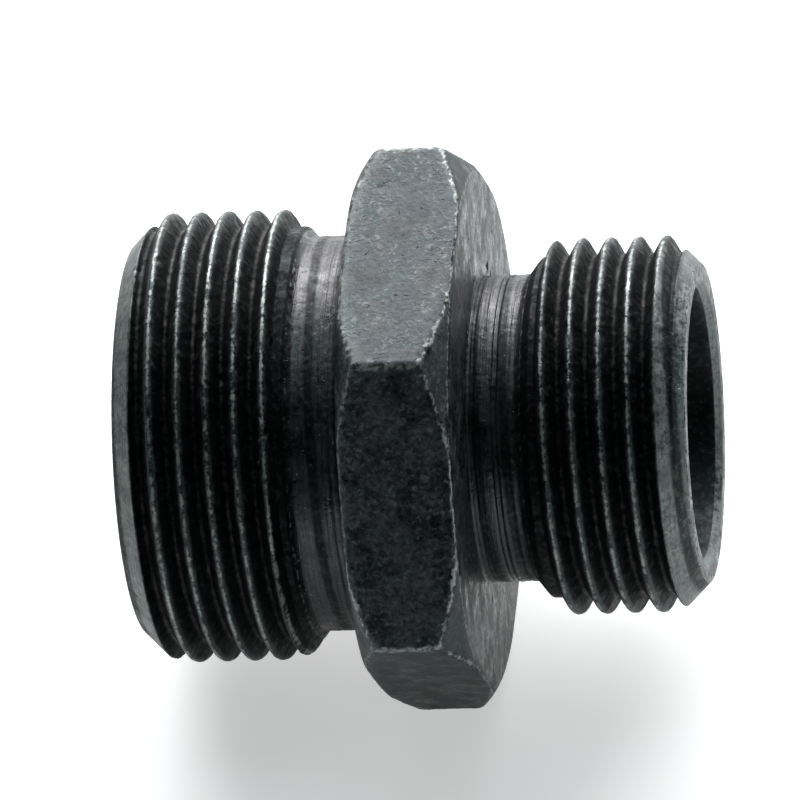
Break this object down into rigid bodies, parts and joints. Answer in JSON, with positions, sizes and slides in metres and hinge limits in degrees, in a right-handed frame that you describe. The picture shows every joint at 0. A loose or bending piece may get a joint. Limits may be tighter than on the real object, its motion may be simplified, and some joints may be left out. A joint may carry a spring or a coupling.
{
  "type": "hex nipple",
  "caption": "Straight reducing hex nipple: a hexagon between a larger and a smaller male thread, each behind a relief neck, with a through bore and a coned mouth at both ends",
  "frame": {"origin": "on the axis of the bore, in the middle of the hexagon's thickness", "axes": "+X runs along the bore from the large thread towards the small one; +Z is the normal of a hexagon flat, so the part rests on the opposite flat; +Y points at a hexagon corner"},
  "size_m": [0.0299, 0.031, 0.027],
  "materials": {
    "nipple_body": "worn black oxide on machined steel, bright on the thread crests and edges"
  },
  "bodies": {
    "root": {"nipple_body": "nipple_body"}
  },
  "joints": []
}
